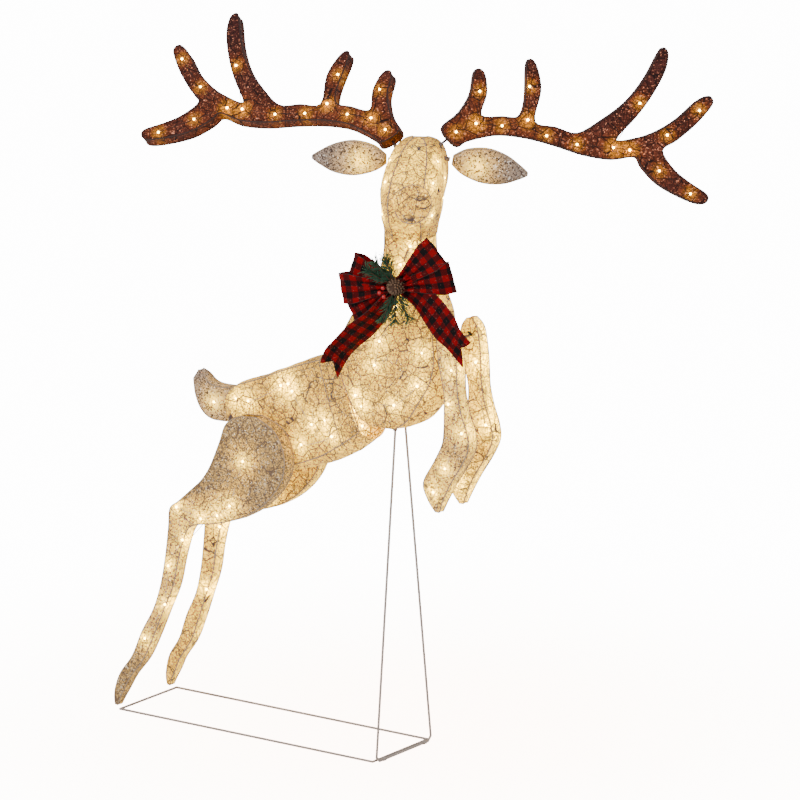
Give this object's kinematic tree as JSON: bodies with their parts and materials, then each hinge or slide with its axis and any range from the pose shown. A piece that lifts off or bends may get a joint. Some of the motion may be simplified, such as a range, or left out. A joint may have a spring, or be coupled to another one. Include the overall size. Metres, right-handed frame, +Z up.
{
  "type": "light up yard reindeer",
  "caption": "Leaping light up yard reindeer: mesh-covered wire sections with antlers, ears, tail, plaid bow and a folding wire stand",
  "frame": {"origin": "middle of the bounding box's floor", "axes": "+X the way the reindeer leaps, +Y its left side, +Z up"},
  "size_m": [1.1516, 0.5756, 1.4653],
  "materials": {
    "mesh_champagne": "glitter mesh",
    "mesh_antler": "brown glitter mesh",
    "wire_grey": "matt",
    "wire_taupe": "satin",
    "led_warm": "lit",
    "ribbon_plaid": "woven plaid",
    "pinecone": "matt",
    "needles": "matt",
    "berry": "gloss",
    "muzzle": "glitter mesh",
    "black_plastic": "matt",
    "eye_plastic": "gloss"
  },
  "bodies": {
    "body": {"torso_frame": "wire_grey", "torso_skin": "mesh_champagne", "torso_light_string": "led_warm", "chest_frame": "wire_grey", "chest_skin": "mesh_champagne", "chest_light_string": "led_warm", "stand_sockets": "wire_grey", "neck_tail_sockets": "wire_grey", "hip_axle": "wire_grey", "shoulder_axle": "wire_grey", "power_inlet": "black_plastic", "bow_loops": "ribbon_plaid", "bow_tail_left": "ribbon_plaid", "bow_tail_right": "ribbon_plaid", "bow_knot": "ribbon_plaid", "bow_pinecone": "pinecone", "bow_greenery": "needles", "bow_berries": "berry"},
    "head": {"head_frame": "wire_grey", "head_skin": "mesh_champagne", "muzzle_disc": "muzzle", "eyes": "eye_plastic", "head_light_string": "led_warm", "head_sockets": "wire_grey"},
    "tail": {"tail_frame": "wire_grey", "tail_skin": "mesh_champagne", "tail_light": "led_warm"},
    "stand_upright": {"stand_upright": "wire_taupe"},
    "stand_base": {"stand_base": "wire_taupe"},
    "antler_left": {"antler_left_frame": "wire_grey", "antler_left_skin": "mesh_antler", "antler_left_light_string": "led_warm"},
    "ear_left": {"ear_left_frame": "wire_grey", "ear_left_skin": "mesh_champagne", "ear_left_light": "led_warm"},
    "hind_leg_left": {"hind_leg_left_frame": "wire_grey", "hind_leg_left_skin": "mesh_champagne", "hind_leg_left_light_string": "led_warm", "hind_leg_left_hub": "black_plastic"},
    "front_leg_left": {"front_leg_left_frame": "wire_grey", "front_leg_left_skin": "mesh_champagne", "front_leg_left_light_string": "led_warm", "front_leg_left_hub": "black_plastic"},
    "antler_right": {"antler_right_frame": "wire_grey", "antler_right_skin": "mesh_antler", "antler_right_light_string": "led_warm"},
    "ear_right": {"ear_right_frame": "wire_grey", "ear_right_skin": "mesh_champagne", "ear_right_light": "led_warm"},
    "hind_leg_right": {"hind_leg_right_frame": "wire_grey", "hind_leg_right_skin": "mesh_champagne", "hind_leg_right_light_string": "led_warm", "hind_leg_right_hub": "black_plastic"},
    "front_leg_right": {"front_leg_right_frame": "wire_grey", "front_leg_right_skin": "mesh_champagne", "front_leg_right_light_string": "led_warm", "front_leg_right_hub": "black_plastic"}
  },
  "joints": [
    {"name": "stand_slide", "type": "slide", "parent": "body", "child": "stand_upright", "axis": [0, 0, -1], "range_m": [0, 0.085]},
    {"name": "stand_fold", "type": "hinge", "parent": "stand_upright", "child": "stand_base", "pos_m": [0.0895, -0.134, 0.0025], "axis": [0, -1, 0], "range_deg": [0, 90]},
    {"name": "hip_left", "type": "hinge", "parent": "body", "child": "hind_leg_left", "pos_m": [-0.249, -0.072, 0.592], "axis": [0, 1, 0], "range_deg": [0, 45]},
    {"name": "shoulder_left", "type": "hinge", "parent": "body", "child": "front_leg_left", "pos_m": [0.229, -0.092, 0.882], "axis": [0, -1, 0], "range_deg": [0, 40]},
    {"name": "hip_right", "type": "hinge", "parent": "body", "child": "hind_leg_right", "pos_m": [-0.249, -0.196, 0.592], "axis": [0, 1, 0], "range_deg": [0, 45]},
    {"name": "shoulder_right", "type": "hinge", "parent": "body", "child": "front_leg_right", "pos_m": [0.229, -0.176, 0.882], "axis": [0, -1, 0], "range_deg": [0, 40]},
    {"name": "head_slide", "type": "slide", "parent": "body", "child": "head", "axis": [0, 0, 1], "range_m": [0, 0.06]},
    {"name": "tail_slide", "type": "slide", "parent": "body", "child": "tail", "axis": [-1, 0, 0], "range_m": [0, 0.045]},
    {"name": "antler_left_slide", "type": "slide", "parent": "head", "child": "antler_left", "axis": [0.5066, 0.6197, 0.5995], "range_m": [0, 0.06]},
    {"name": "ear_left_turn", "type": "hinge", "parent": "head", "child": "ear_left", "pos_m": [0.17054, -0.08724, 1.22822], "axis": [0.8032, 0.5665, -0.1842], "range_deg": [-20, 20]},
    {"name": "antler_right_slide", "type": "slide", "parent": "head", "child": "antler_right", "axis": [-0.752, 0.2871, 0.5934], "range_m": [0, 0.06]},
    {"name": "ear_right_turn", "type": "hinge", "parent": "head", "child": "ear_right", "pos_m": [0.05875, -0.14697, 1.22526], "axis": [-0.9392, -0.3431, -0.0129], "range_deg": [-20, 20]}
  ]
}
